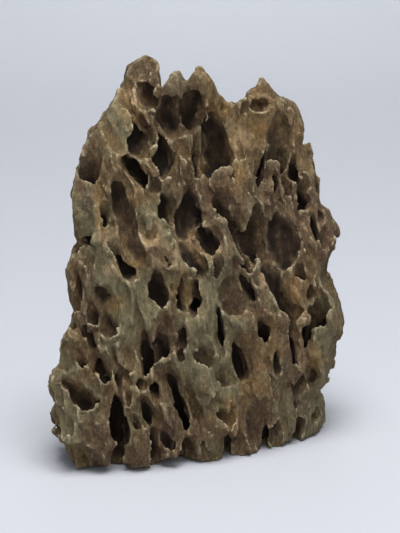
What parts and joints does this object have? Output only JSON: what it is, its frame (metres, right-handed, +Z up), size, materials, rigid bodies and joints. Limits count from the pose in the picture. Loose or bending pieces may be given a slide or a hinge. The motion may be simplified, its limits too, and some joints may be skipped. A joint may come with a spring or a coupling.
{
  "type": "dragon stone",
  "caption": "Weathered dragon stone, an upright hardscape rock full of pockets, ribs and horns, with a flat foot to stand on.",
  "frame": {"origin": "on the flat underside, below the middle of the stone's bounding box", "axes": "+Z up along the stone's height, +X to the right across its broad face, +Y away from the broad pitted face"},
  "size_m": [0.2218, 0.1474, 0.2952],
  "materials": {
    "weathered_rock": "matt, weathered brown with cream ridges, grey-green faces and ochre streaks"
  },
  "bodies": {
    "root": {"dragon_stone": "weathered_rock"}
  },
  "joints": []
}
